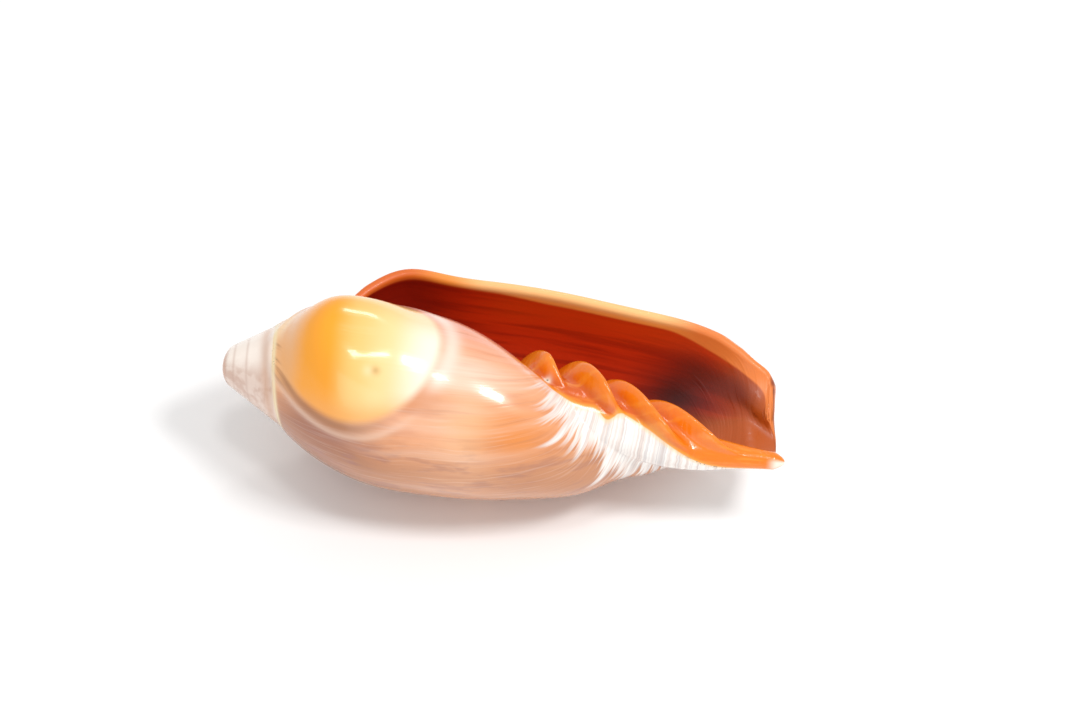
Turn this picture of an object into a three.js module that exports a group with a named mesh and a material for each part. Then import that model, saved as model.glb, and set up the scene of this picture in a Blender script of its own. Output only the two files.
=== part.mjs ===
// A large marginella shell, 100 mm long, lying on its back with the aperture facing up and away.
// The shell is one closed surface. Every point of it has a place x along the coiling axis, from the
// apex (0) to the front tip (LENGTH), and a turn angle: the degrees of growth back from the outer lip.
// 0 is the lip, 360 is the surface that the lip has grown over, and 720 the turn inside that.
import * as THREE from 'three';

// Driving dimensions, in millimetres and degrees
const LENGTH = 100;
const WHORL_GROWTH = 2.04; // each turn is this many times larger than the turn before
const WALL = 1.9; // thickness of the outer wall, rounded over at the lip
const BODY = { widestX: 50, widestRadius: 24.2, step: 0.4, stepLength: 0.5, shoulder: 2.6 };
// The front of a turn: the powers of its curve by the lip, and what the waist behind adds to them
const FRONT = { fullness: 3, blunt: 0.5, waistFullness: -0.2, waistBlunt: 0.25, waistLength: 0.02 };
const WAIST = { fromTurn: 20, fullTurn: 130 };
const SUTURE_X = 16.4; // where the back end of the lip meets the spire
const SPIRE = { nose: 1.8, noseCurve: 2.6, startRadius: 2.7, slope: 0.6, falls: 0.9, fullTurn: 120 };
const COLUMELLA = { radius: 4.0, tipRadius: 1.1, taperFrom: 76 };
const CANAL = { height: 9.5, fromX: 58, fullX: 84, turnStart: 25, turnEnd: 145, frontTurnEnd: 100 };
const AXIS_BEND = { offset: 5.3, turn: 150, fromX: 52, toX: 88 }; // the front end leans off the axis
const TIP_ROUND = 1.9;

// Swellings of the lip along its edge, and of the lower side in front of the last turn
const LIP_SWELLINGS = [
  { x: 26.8, length: 9, height: 4.2 },
  { x: 70, length: 14, height: -1.4 },
  { x: 97.5, length: 4.2, height: 8.3 },
];
const LIP_SPREAD = 55;
const NECK_SWELLINGS = [
  { x: 82.5, length: 7, height: 0.8 },
  { x: 71.5, length: 4.5, height: -1.3 },
];
const NECK_TURNS = [70, 115, 230, 262];

// The pad on the back of the last turn: highest in a knob, with two dents and a rolled glaze round it
const CALLUS = { x: 23.8, turn: 266, halfFront: 15.5, halfBack: 12.8, halfTurn: 55, height: 2.8 };
const GLAZE = { height: 0.35, from: 1.12, to: 1.3, fadeFromX: 26, fadeToX: 38 };
const ROLL = { height: 0.22, reach: 1.16, width: 0.07, fadeFromX: 30, fadeToX: 40 };
const KNOB = { x: 18.8, length: 6.5, turn: 279, spread: 28, height: 2.2, fromX: 10, fullX: 14.5 };
const DENTS = [
  { x: 25.5, length: 6, turn: 264, spread: 7, height: -0.35 },
  { x: 28.5, length: 3.6, turn: 252, spread: 22, height: -0.8 },
];
const REST = { upTurn: -87.5, flat: 0.45 }; // how it lies, and how deep its contact is worn flat

// The four folds on the columella: place at turn 327, height, half width, and the turn each starts at
const PLAITS = [
  { x: 56.0, height: 4.5, width: 1.7, start: 283 },
  { x: 63.7, height: 4.4, width: 1.9, start: 262 },
  { x: 71.3, height: 3.4, width: 2.1, start: 237 },
  { x: 79.8, height: 3.0, width: 2.3, start: 247 },
];
const PLAIT_CLIMB = 0.8; // share of a full spiral step that a fold climbs in one turn
// A fold's front and back slopes in half widths, and the turns over which it grows and sinks again
const PLAIT = { front: 0.9, back: 1.25, power: 2.4, growBefore: 10, growAfter: 34, sinks: [420, 640] };

// The lip's edge is straight along the side, then sweeps back round the notch at the front
const LIP = { sweepFrom: 86, sweepTo: 96, notchFrom: 97, notchTo: 99.2, sweepTurn: 6, notchTurn: 94 };
const LIP_RUNS_OUT = 98.5;

// The hollow winds back this many degrees behind the lip, and far less in front, where it is a slit
const HOLLOW = { turn: 300, frontTurn: 90, fullTo: 40, slitFrom: 82, tipTurn: 80, tipFrom: 86, tipTo: 95,
  leastTurn: 4, behindSuture: 3.3, startCurve: 0.03, endRound: 4.5, backRound: 3.5, leastRadius: 4,
  smaller: 0.8 };

// Mesh density: rows along the shell, and columns round each sheet
const ROWS = { spire: 12, shoulder: 14, folds: 34, front: 14 };
const FOLDS_FROM = 52;
const FOLDS_TO = 86;
const COLUMNS = { outside: 38, hollow: 16, notch: 4 };

const COLOURS = {
  body: new THREE.Color('#e2ab8e'),
  spire: new THREE.Color('#ead9cf'),
  callus: new THREE.Color('#f7c979'),
  ivory: new THREE.Color('#f4ece2'),
  folds: new THREE.Color('#f0922c'),
  inside: new THREE.Color('#a8421a'),
};

// Small curve helpers
const radians = THREE.MathUtils.degToRad;
const clamp01 = (t) => Math.min(Math.max(t, 0), 1);
const ease = (from, to, value) => THREE.MathUtils.smoothstep(value, from, to);
const bell = (value, centre, width) => Math.exp(-(((value - centre) / width) ** 2));
const blendMax = (a, b, softness) => 0.5 * (a + b + Math.hypot(a - b, softness));
const quarterRound = (distance, radius) => Math.sqrt(1 - (1 - clamp01(distance / radius)) ** 2);

// Turn angle of the lip's edge, and of the hollow's far end, at a place along the shell
function lipEdge(x) {
  const sweep = LIP.sweepTurn * ease(LIP.sweepFrom, LIP.sweepTo, x);
  return sweep + LIP.notchTurn * ease(LIP.notchFrom, LIP.notchTo, x);
}

function hollowEnd(x) {
  const narrowing = (HOLLOW.turn - HOLLOW.frontTurn) * ease(HOLLOW.fullTo, HOLLOW.slitFrom, x);
  const tip = (HOLLOW.frontTurn - HOLLOW.tipTurn) * ease(HOLLOW.tipFrom, HOLLOW.tipTo, x);
  return Math.max(HOLLOW.turn - narrowing - tip, lipEdge(x) + HOLLOW.leastTurn);
}

// Where the back end of a turn meets the spire
const sutureX = (turn) => SUTURE_X * WHORL_GROWTH ** (-Math.max(turn, 0) / 360);

// The spire: a straight cone with a blunt round nose, ending inside the last turn
function spireRadius(x, turn) {
  const share = ease(0, SPIRE.fullTurn, turn);
  const end = sutureX(turn) * share + sutureX(360) * (1 - share);
  const near = Math.min(x, end);
  const nose = Math.sqrt(1 - (1 - clamp01(near / SPIRE.nose)) ** SPIRE.noseCurve);
  const outside = (SPIRE.startRadius + SPIRE.slope * near) * nose;
  return Math.max(outside - SPIRE.falls * Math.max(x - end, 0), 0);
}

// One turn of the shell: the same outline, smaller the further back it was grown
function whorlRadius(x, turn) {
  const size = WHORL_GROWTH ** (-turn / 360);
  const start = sutureX(turn);
  if (x <= start) return 0;
  const widest = BODY.widestX * size;
  const startRadius = SPIRE.startRadius + SPIRE.slope * start;
  const rise = 1 - (1 - clamp01((x - start) / (widest - start))) ** BODY.shoulder;
  const step = BODY.step * size * (1 - Math.exp((start - x) / BODY.stepLength));
  const back = startRadius + (BODY.widestRadius * size - startRadius) * rise + step;
  const waist = ease(WAIST.fromTurn, WAIST.fullTurn, turn);
  const end = LENGTH * size * (1 + FRONT.waistLength * waist);
  const front = clamp01((x - widest) / (end - widest)) ** (FRONT.fullness + FRONT.waistFullness * waist);
  return back * (1 - front) ** (FRONT.blunt + FRONT.waistBlunt * waist);
}

const sumOf = (swellings, x) => (
  swellings.reduce((sum, swelling) => sum + swelling.height * bell(x, swelling.x, swelling.length), 0)
);

// The outer lip stands out at the shoulder and the front, and draws in at its middle
function lipRise(x, turn) {
  return sumOf(LIP_SWELLINGS, x) * bell(turn, 0, LIP_SPREAD) * ease(SUTURE_X, 22, x);
}

// In front of the last turn the shell draws in to a neck, then fills out again
function neckRise(x, turn) {
  const [from, full, until, gone] = NECK_TURNS;
  return sumOf(NECK_SWELLINGS, x) * ease(from, full, turn) * (1 - ease(until, gone, turn));
}

// The trough that carries the siphon, on the lip's side of the columella
function canalHeight(x, turn) {
  const end = CANAL.turnEnd + (CANAL.frontTurnEnd - CANAL.turnEnd) * ease(88, 98, x);
  return CANAL.height * (1 - ease(CANAL.turnStart, end, turn)) * ease(CANAL.fromX, CANAL.fullX, x);
}

// Folds that wind up the columella: steep on their front side, sloping on the other
function plaitHeight(x, turn) {
  let highest = 0;
  for (const { x: place, height, width, start } of PLAITS) {
    const offset = x - place * WHORL_GROWTH ** ((-PLAIT_CLIMB * (turn - 327)) / 360);
    const side = width * (offset > 0 ? PLAIT.front : PLAIT.back);
    const ridge = Math.exp(-(Math.abs(offset / side) ** PLAIT.power));
    const sunk = 0.5 * ease(...PLAIT.sinks, turn);
    const grown = ease(start - PLAIT.growBefore, start + PLAIT.growAfter, turn) * (1 - sunk);
    highest = blendMax(highest, height * ridge * grown, 0.25) - 0.125;
  }
  return highest;
}

// 0 in the middle of the pad on the back of the last turn, and 1 round its edge
function callusReach(x, turn) {
  const half = x < CALLUS.x ? CALLUS.halfBack : CALLUS.halfFront;
  return Math.hypot((x - CALLUS.x) / half, (turn - CALLUS.turn) / CALLUS.halfTurn);
}

const mound = (form, x, turn) => (
  form.height * bell(x, form.x, form.length) * bell(turn, form.turn, form.spread)
);

function callusHeight(x, turn) {
  const reach = callusReach(x, turn);
  const pad = CALLUS.height * (1 - ease(0.3, 1.05, reach));
  const knob = mound(KNOB, x, turn) * ease(KNOB.fromX, KNOB.fullX, x);
  const dents = DENTS.reduce((sum, dent) => sum + mound(dent, x, turn), 0);
  const glaze = GLAZE.height * (1 - ease(GLAZE.from, GLAZE.to, reach))
    * (1 - ease(GLAZE.fadeFromX, GLAZE.fadeToX, x));
  const roll = ROLL.height * bell(reach, ROLL.reach, ROLL.width)
    * (1 - ease(ROLL.fadeFromX, ROLL.fadeToX, x));
  return pad + knob + dents + glaze + roll;
}

function outerRadius(x, turn) {
  const turns = [0, 360, 720].map((back) => whorlRadius(x, turn + back));
  const whorls = Math.max(spireRadius(x, turn), ...turns) + lipRise(x, turn) + neckRise(x, turn);
  const taper = ease(COLUMELLA.taperFrom, LENGTH, x);
  const columella = COLUMELLA.radius + (COLUMELLA.tipRadius - COLUMELLA.radius) * taper;
  const softness = 1.6 + 3.4 * ease(100, 200, turn) * (1 - ease(68, 84, x));
  const joined = blendMax(whorls, columella + canalHeight(x, turn), softness);
  const radius = whorls + (joined - whorls) * ease(20, 30, x) + callusHeight(x, turn) + plaitHeight(x, turn);
  return radius * Math.sqrt(clamp01((LENGTH - x) / TIP_ROUND));
}

// A point on the shell's outer surface, with x along the axis, z towards turn 0 and y towards 90
function surfacePoint(x, turn) {
  const angle = radians(turn);
  const radius = outerRadius(x, turn);
  const bend = Math.max(ease(10, 150, turn), ease(90, 99, x))
    * AXIS_BEND.offset * ease(AXIS_BEND.fromX, AXIS_BEND.toX, x);
  const towards = radians(AXIS_BEND.turn);
  return new THREE.Vector3(
    x,
    radius * Math.sin(angle) + bend * Math.sin(towards),
    radius * Math.cos(angle) + bend * Math.cos(towards),
  );
}

function outwardNormal(x, turn) {
  const along = surfacePoint(Math.min(x + 0.15, LENGTH), turn).sub(surfacePoint(Math.max(x - 0.15, 0), turn));
  const round = surfacePoint(x, turn + 0.6).sub(surfacePoint(x, turn - 0.6));
  return along.cross(round).normalize();
}

// The wall thins to nothing where the last turn meets the one inside it
function wallThickness(x, turn) {
  const step = surfacePoint(x, turn).sub(surfacePoint(x, turn + 360));
  const gap = Math.max(step.y * Math.sin(radians(turn)) + step.z * Math.cos(radians(turn)), 0);
  return WALL * (1 - Math.exp((-0.65 * gap) / WALL));
}

// 0 on the lip's edge and 1 from half a wall behind it, which rounds the edge over
function lipRounding(x, turn, thickness) {
  const slope = radians(lipEdge(x + 0.05) - lipEdge(x - 0.05)) / 0.1;
  const radius = outerRadius(x, turn);
  const distance = (radians(turn - lipEdge(x)) * radius) / Math.hypot(1, radius * slope);
  return quarterRound(distance, Math.max(thickness / 2, 1e-3));
}

// Near the columella the rows of points climb with the folds. ahead is how far in front of turn 360
// a point lies, and is less than nothing inside the hollow
function alongFolds(row, ahead) {
  const climbed = ahead > 0 ? ahead * (1 - ease(80, 230, ahead)) : -70 * Math.tanh(-ahead / 70);
  const share = ease(40, 54, row) * (1 - ease(62, LENGTH, row));
  return row * (1 + share * (WHORL_GROWTH ** ((PLAIT_CLIMB * climbed) / 360) - 1));
}

function outsidePoint(row, turn) {
  const x = alongFolds(row, 360 - turn);
  const point = surfacePoint(x, turn);
  if (x < SUTURE_X) return point;
  const thickness = wallThickness(x, turn);
  const back = (thickness / 2) * (1 - lipRounding(x, turn, thickness));
  return point.addScaledVector(outwardNormal(x, turn), -back);
}

// The hollow's two faces: its floor is the turn inside, and its roof the inner face of the wall.
// depth runs from 0 at the lip to 1 at the far end, where roof and floor meet in a round
function hollowPoints(row, depth) {
  const lip = lipEdge(row);
  const end = hollowEnd(row);
  const turn = lip + depth * (end - lip);
  const ahead = (row - SUTURE_X) / (LENGTH - SUTURE_X);
  const behind = HOLLOW.behindSuture * (1 - Math.exp(-depth / HOLLOW.startCurve));
  const start = sutureX(HOLLOW.turn * depth) + behind;
  const at = alongFolds(row, lip - turn) + (start - SUTURE_X) * (1 - ahead) ** 3;
  const thickness = wallThickness(at, turn);
  const inset = thickness - (thickness / 2) * (1 - lipRounding(at, turn, thickness));
  const floor = surfacePoint(at, turn + 360);
  const roof = surfacePoint(at, turn).addScaledVector(outwardNormal(at, turn), -inset);
  const scale = HOLLOW.smaller * Math.max(outerRadius(at, turn), HOLLOW.leastRadius);
  const toEnd = radians(end - turn) * scale;
  const reach = Math.min(HOLLOW.endRound, 1e-3 + radians(end - lip) * scale);
  const backRound = quarterRound(row - SUTURE_X, HOLLOW.backRound);
  const open = quarterRound(toEnd, reach) * (1 - (1 - backRound) * ease(0, HOLLOW.startCurve, depth));
  return { floor, roof: floor.clone().lerp(roof, open) };
}

// Rows and columns, closer together where the form turns quickly
const steps = (count, power) => Array.from({ length: count + 1 }, (_, i) => (i / count) ** power);
const spireRows = steps(ROWS.spire, 1.5).map((t) => SUTURE_X * t);
const bodyRows = [
  ...steps(ROWS.shoulder, 1.3).map((t) => SUTURE_X + (FOLDS_FROM - SUTURE_X) * t),
  ...steps(ROWS.folds, 1).slice(1).map((t) => FOLDS_FROM + (FOLDS_TO - FOLDS_FROM) * t),
  ...steps(ROWS.front, 1).slice(1).map((t) => LENGTH - (LENGTH - FOLDS_TO) * (1 - t) ** 1.4),
];

// Each sheet is a list of rows of points
function makeSheets() {
  const outside = [...spireRows.slice(0, -1), ...bodyRows].map((row) => {
    const lip = lipEdge(row);
    return steps(COLUMNS.outside, 1.3).map((t) => outsidePoint(row, lip + t * (360 - lip)));
  });
  const notch = bodyRows.map((row) => (
    steps(COLUMNS.notch, 1).map((t) => surfacePoint(row, 360 + t * lipEdge(row)))
  ));
  const hollow = bodyRows.map((row) => steps(COLUMNS.hollow, 1.35).map((t) => hollowPoints(row, t)));
  const roof = hollow.map((row) => row.map((pair) => pair.roof));
  const floor = hollow.map((row) => row.map((pair) => pair.floor));

  // Neighbouring sheets share the points of their common edges
  outside.forEach((row, i) => {
    if (i < ROWS.spire + 1) row[0] = row.at(-1);
  });
  outside[0].fill(outside[0][0]);
  bodyRows.forEach((_, i) => {
    const outer = outside[ROWS.spire + i];
    roof[i][0] = outer[0];
    notch[i][0] = outer.at(-1);
    floor[i][0] = notch[i].at(-1);
    roof[i][roof[i].length - 1] = floor[i].at(-1);
  });
  const corner = outside[ROWS.spire][0];
  floor[0][0] = corner;
  roof[0] = [...floor[0]];
  notch[0].fill(corner);
  bodyRows.forEach((row, i) => {
    if (row < LIP_RUNS_OUT) return;
    const end = notch[i].at(-1);
    outside[ROWS.spire + i][0] = end;
    roof[i].fill(end);
    floor[i].fill(end);
  });
  const tip = outside.at(-1)[0];
  [outside, roof, floor, notch].forEach((sheet) => sheet.at(-1).fill(tip));
  return { outside, notch, roof, floor };
}

// Colour by zone, from the pale spire to the orange folds and the dark inside
function colourAt(sheet, point) {
  if (sheet === 'roof') return COLOURS.inside;
  const turn = (THREE.MathUtils.radToDeg(Math.atan2(point.y, point.z)) + 360) % 360;
  if (sheet !== 'outside') return point.x < 50 ? COLOURS.ivory : COLOURS.folds;
  if (callusReach(point.x, turn) < 1) return COLOURS.callus;
  if (point.x < SUTURE_X) return COLOURS.spire;
  if (plaitHeight(point.x, turn) > 0.8 || (point.x > 80 && turn > 180)) return COLOURS.folds;
  return turn > 120 && point.x > 45 + (turn - 120) * 0.04 + 14 ? COLOURS.ivory : COLOURS.body;
}

// Joins the sheets into one closed mesh: equal points are merged and collapsed triangles dropped
function makeGeometry(sheets) {
  const positions = [];
  const colours = [];
  const indices = [];
  const known = new Map();
  const vertex = (sheet, point) => {
    const key = point.toArray().map((value) => Math.round(value * 1000)).join();
    if (!known.has(key)) {
      known.set(key, positions.length / 3);
      positions.push(...point.toArray());
      colours.push(...colourAt(sheet, point).toArray());
    }
    return known.get(key);
  };
  const triangle = (...corners) => {
    if (new Set(corners).size === 3) indices.push(...corners);
  };
  for (const [name, rows] of Object.entries(sheets)) {
    const ids = rows.map((row) => row.map((point) => vertex(name, point)));
    for (let i = 0; i + 1 < ids.length; i += 1) {
      for (let j = 0; j + 1 < ids[i].length; j += 1) {
        const [a, b, c, d] = [ids[i][j], ids[i + 1][j], ids[i + 1][j + 1], ids[i][j + 1]];
        if (name === 'roof') {
          triangle(d, b, a);
          triangle(d, c, b);
        } else {
          triangle(a, b, d);
          triangle(b, c, d);
        }
      }
    }
  }
  const geometry = new THREE.BufferGeometry();
  geometry.setAttribute('position', new THREE.Float32BufferAttribute(positions, 3));
  geometry.setAttribute('color', new THREE.Float32BufferAttribute(colours, 3));
  geometry.setIndex(indices);
  return geometry;
}

// Lays the shell on its back and wears the lowest point to a small flat, with the origin under
// the middle of its bounding box
function layDown(geometry) {
  geometry.rotateX(radians(REST.upTurn));
  geometry.computeBoundingBox();
  const floor = geometry.boundingBox.min.z + REST.flat;
  const position = geometry.attributes.position;
  for (let i = 0; i < position.count; i += 1) {
    position.setZ(i, Math.max(position.getZ(i), floor));
  }
  const { min, max } = geometry.boundingBox;
  geometry.translate(-(min.x + max.x) / 2, -(min.y + max.y) / 2, -floor);
  geometry.computeVertexNormals();
  return geometry;
}

const shell = new THREE.Mesh(
  layDown(makeGeometry(makeSheets())),
  new THREE.MeshStandardMaterial({ vertexColors: true, roughness: 0.25, metalness: 0 }),
);
shell.name = 'marginella_shell';

const marginella = new THREE.Group();
marginella.add(shell);

export default marginella;
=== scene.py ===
"""Dresses the marginella shell: one smooth, glossy shell lying on its back on a pale floor."""

from math import cos, degrees, radians, sin

import bpy
from mathutils import Matrix, Vector


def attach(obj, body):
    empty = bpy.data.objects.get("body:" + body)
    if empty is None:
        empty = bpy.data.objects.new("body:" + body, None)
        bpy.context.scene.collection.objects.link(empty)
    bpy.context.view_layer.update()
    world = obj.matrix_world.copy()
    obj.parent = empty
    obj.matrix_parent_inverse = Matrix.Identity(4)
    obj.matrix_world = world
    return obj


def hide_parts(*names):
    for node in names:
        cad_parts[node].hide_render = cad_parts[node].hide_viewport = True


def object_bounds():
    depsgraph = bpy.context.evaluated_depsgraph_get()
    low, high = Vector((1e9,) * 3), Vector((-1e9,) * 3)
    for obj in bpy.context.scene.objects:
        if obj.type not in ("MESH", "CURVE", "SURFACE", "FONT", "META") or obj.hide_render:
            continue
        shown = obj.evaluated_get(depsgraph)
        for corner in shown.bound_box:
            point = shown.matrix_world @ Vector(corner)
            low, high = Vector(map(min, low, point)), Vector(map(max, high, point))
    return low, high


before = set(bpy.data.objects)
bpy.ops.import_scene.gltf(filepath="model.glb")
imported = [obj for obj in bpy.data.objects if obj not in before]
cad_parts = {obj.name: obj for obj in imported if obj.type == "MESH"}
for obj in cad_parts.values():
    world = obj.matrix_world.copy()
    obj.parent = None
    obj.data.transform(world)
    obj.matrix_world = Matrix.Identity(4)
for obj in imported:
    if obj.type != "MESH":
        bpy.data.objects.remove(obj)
cad_low, cad_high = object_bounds()


# The shell. The real one is a single piece that the snail grew turn by turn: porcelain-like shell
# over a solid pillar, with four folds on the pillar, a thick glossy pad on its back and a wide
# mouth. A place on it is along, from the apex (0) to the front tip, and turn, the degrees of
# growth back from the outer lip: 0 is the lip and 360 the surface that the lip has grown over.
MM = 0.001
SIZES = {
    "length": (cad_high.x - cad_low.x) / MM,
    "whorl growth": 2.04,
    "wall": 1.9,
    "widest place": 50.0,
    "widest radius": 24.2,
    "whorl step": 0.4,
    "suture place": 16.4,
    "apex nose": 1.8,
    "spire radius": 2.7,
    "spire slope": 0.6,
    "pillar radius": 4.0,
    "pillar tip radius": 1.1,
    "canal height": 9.5,
    "pad place": 23.8,
    "pad turn": 266.0,
    "pad half length": 15.5,
    "pad half turn": 55.0,
    "pad height": 2.8,
    "knob height": 2.2,
    "glaze height": 0.35,
    "axis bend": 5.3,
    "fold climb": 0.8,
    "hollow turn": 300.0,
    "hollow front turn": 90.0,
    "hollow behind suture": 3.3,
    "hollow end round": 4.5,
    "hollow back round": 3.5,
}
LIP_EDGE = {"slant": 6, "slant along": (86.0, 96.0), "notch": 94, "notch along": (97.0, 99.2)}
LIP_SWELLINGS = [
    {"place": 26.8, "length": 9.0, "height": 4.2},
    {"place": 70.0, "length": 14.0, "height": -1.4},
    {"place": 97.5, "length": 4.2, "height": 8.3},
]
LIP_SPREAD, LIP_FULL_AT = 55.0, 22.0
NECK_SWELLINGS = [
    {"place": 82.5, "length": 7.0, "height": 0.8},
    {"place": 71.5, "length": 4.5, "height": -1.3},
]
NECK_TURNS = (70.0, 115.0), (230.0, 262.0)
SPIRE = {"nose": 2.6, "joins lip": (0.0, 120.0), "falls inside": 0.9}
WHORL = {"rise": 2.6, "step length": 0.5, "waist turns": (20.0, 130.0), "waist longer": 0.02,
         "front": 3, "front at waist": -0.2, "root": 0.5, "root at waist": 0.25}
PILLAR = {"along": (20.0, 30.0), "taper from": 76.0, "softness": 1.6, "softer": 3.4,
          "softer turns": (100.0, 200.0), "softer up to": (68.0, 84.0), "whorls end softly": 1.2}
CANAL = {"end turn": 145, "end turn less": 45, "less along": (88.0, 98.0), "from turn": 25.0,
         "along": (58.0, 84.0)}
PAD = {"shorter back": 2.7, "slope": (0.3, 1.05)}
KNOB = {"place": 18.8, "length": 6.5, "turn": 279.0, "spread": 28.0, "along": (10.0, 14.5)}
GLAZE = {"edge": (1.12, 1.3), "ends along": (26.0, 38.0)}
ROLL = {"height": 0.22, "reach": 1.16, "width": 0.07, "ends along": (30.0, 40.0)}
DENTS = [
    {"place": 25.5, "length": 6.0, "turn": 264.0, "spread": 7.0, "depth": 0.35},
    {"place": 28.5, "length": 3.6, "turn": 252.0, "spread": 22.0, "depth": 0.8},
]
TIP_ROUND = 1.9
BEND = {"towards": 150, "turns": (10.0, 150.0), "tip": (90.0, 99.0), "along": (52.0, 88.0)}
FOLD = {"side": 1.25, "steeper side": -0.35, "sharpness": 2.4, "begins": -10.0, "full": 34.0,
        "climbs from": 327, "lower turns": (420.0, 640.0), "lower": 0.5, "blend": 0.25}
FOLDS = [
    {"place": 56.0, "height": 4.5, "width": 1.7, "start": 283},
    {"place": 63.7, "height": 4.4, "width": 1.9, "start": 262},
    {"place": 71.3, "height": 3.4, "width": 2.1, "start": 237},
    {"place": 79.8, "height": 3.0, "width": 2.3, "start": 247},
]
HOLLOW = {"narrows along": (40.0, 82.0), "front less": 10, "front along": (86.0, 95.0),
          "least": 4, "start": 0.03, "end size": 0.8, "least radius": 4.0}
ROWS = {"spire": 30, "shoulder": 60, "folds": 100, "front": 50}
ROW_CROWDING = {"spire": 1.5, "shoulder": 1.3, "front": 1.4}
ROW_PLACES = {"folds from": 52.0, "folds to": 86.0}
ROW_CLIMB = {"turns": (80.0, 230.0), "inside": 70, "along": (40.0, 54.0), "front from": 62.0}
OUTSIDE_CROWDING, HOLLOW_CROWDING = 1.3, 1.35
WALL_FILL, LOOK_ALONG, LOOK_TURN, LOOK_EDGE, TINY = 0.65, 0.15, 0.6, 0.05, 0.001
WELD = 0.002
SUTURE_ROWS_END = (360.0, 300.0)
OUTSIDE_COLUMNS, HOLLOW_COLUMNS, NOTCH_COLUMNS = 200, 110, 14
LIP_RUNS_OUT = 98.5
OUTSIDE_FACE, NOTCH_FACE, ROOF_FACE, FLOOR_FACE = range(4)
REST_TURN, REST_FLAT = -87.5, 0.45


class Wire:
    """A value that runs through a node tree. Arithmetic on it adds Math nodes to the tree."""

    def __init__(self, socket):
        self.socket = socket
        self.tree = socket.id_data

    @classmethod
    def node(cls, tree, kind, settings=None, values=None, output=0):
        """Adds a node of any kind: first its settings, then the values or wires of its sockets."""
        node = tree.nodes.new(kind)
        for name, setting in (settings or {}).items():
            setattr(node, name, setting)
        for key, value in (values or {}).items():
            if isinstance(value, cls):
                tree.links.new(value.socket, node.inputs[key])
            else:
                node.inputs[key].default_value = value
        return cls(node.outputs[output])

    def also(self, output):
        """Another output of the node that this wire leaves."""
        return Wire(self.socket.node.outputs[output])

    def math(self, operation, *others):
        values = dict(enumerate((self, *others)))
        return Wire.node(self.tree, "ShaderNodeMath", {"operation": operation}, values)

    def swapped(self, operation, first):
        return Wire.node(self.tree, "ShaderNodeMath", {"operation": operation}, {0: first, 1: self})

    def vector(self, operation, *others, output=0):
        values = dict(enumerate((self, *others)))
        return Wire.node(self.tree, "ShaderNodeVectorMath", {"operation": operation}, values, output)

    def scaled(self, factor):
        sockets = {"Vector": self, "Scale": factor}
        return Wire.node(self.tree, "ShaderNodeVectorMath", {"operation": "SCALE"}, sockets)

    def __add__(self, other):
        return self.math("ADD", other)

    def __sub__(self, other):
        return self.math("SUBTRACT", other)

    def __rsub__(self, other):
        return self.swapped("SUBTRACT", other)

    def __mul__(self, other):
        return self.math("MULTIPLY", other)

    def __truediv__(self, other):
        return self.math("DIVIDE", other)

    def __rtruediv__(self, other):
        return self.swapped("DIVIDE", other)

    def __pow__(self, other):
        return self.math("POWER", other)

    def __rpow__(self, other):
        return self.swapped("POWER", other)

    def __neg__(self):
        return self.math("MULTIPLY", -1.0)

    def __lt__(self, other):
        return self.math("LESS_THAN", other)

    def __gt__(self, other):
        return self.math("GREATER_THAN", other)

    __radd__ = __add__
    __rmul__ = __mul__


def highest(a, b):
    return a.math("MAXIMUM", b)


def lowest(a, b):
    return a.math("MINIMUM", b)


def share(value):
    """value held between 0 and 1."""
    return highest(lowest(value, 1.0), 0.0)


def ease(start, end, value):
    """A smooth rise from 0 at start to 1 at end."""
    sockets = {"Value": value, "From Min": start, "From Max": end}
    return Wire.node(value.tree, "ShaderNodeMapRange", {"interpolation_type": "SMOOTHSTEP"}, sockets)


def bell(value, centre, width):
    off = (value - centre) / width
    return (-(off * off)).math("EXPONENT")


def softest_highest(a, b, softness):
    gap = a - b
    return (a + b + (gap * gap + softness * softness).math("SQRT")) * 0.5


def quarter_round(distance, radius):
    short = 1 - share(distance / radius)
    return (1 - short * short).math("SQRT")


def in_radians(wire):
    return wire.math("RADIANS")


def swellings(x, places):
    """Rises and dips at places along the shell, added up."""
    heights = [bell(x, swelling["place"], swelling["length"]) * swelling["height"] for swelling in places]
    return sum(heights[1:], heights[0])


class Group:
    """A node group with every size of the shell as a named input, beside inputs of its own."""

    def __init__(self, name, own_inputs, outputs):
        self.tree = bpy.data.node_groups.new(name, "GeometryNodeTree")
        for own in own_inputs:
            self.tree.interface.new_socket(own, in_out="INPUT", socket_type="NodeSocketFloat")
        for size, value in SIZES.items():
            socket = self.tree.interface.new_socket(size, in_out="INPUT", socket_type="NodeSocketFloat")
            socket.default_value = value
        for output, kind in outputs.items():
            self.tree.interface.new_socket(output, in_out="OUTPUT", socket_type=kind)
        self.first = self.tree.nodes.new("NodeGroupInput")
        self.last = self.tree.nodes.new("NodeGroupOutput")

    def __getitem__(self, name):
        return Wire(self.first.outputs[name])

    def give(self, **outputs):
        for name, wire in outputs.items():
            self.tree.links.new(wire.socket, self.last.inputs[name])

    def within(self, outer, output, **own):
        """Uses this group inside the outer one, whose sizes it takes over by name."""
        values = {size: outer[size] for size in SIZES} | own
        return Wire.node(outer.tree, "GeometryNodeGroup", {"node_tree": self.tree}, values, output)


FLOAT, VECTOR, GEOMETRY = "NodeSocketFloat", "NodeSocketVector", "NodeSocketGeometry"


def lip_turn(x):
    """The lip's edge: straight along the side, then swept back round the notch at the front."""
    slant = LIP_EDGE["slant"] * ease(*LIP_EDGE["slant along"], x)
    return slant + LIP_EDGE["notch"] * ease(*LIP_EDGE["notch along"], x)


def suture_place(g, turn):
    """Where the back end of a turn meets the spire."""
    return g["suture place"] * g["whorl growth"] ** (highest(turn, 0.0) / -360)


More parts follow.
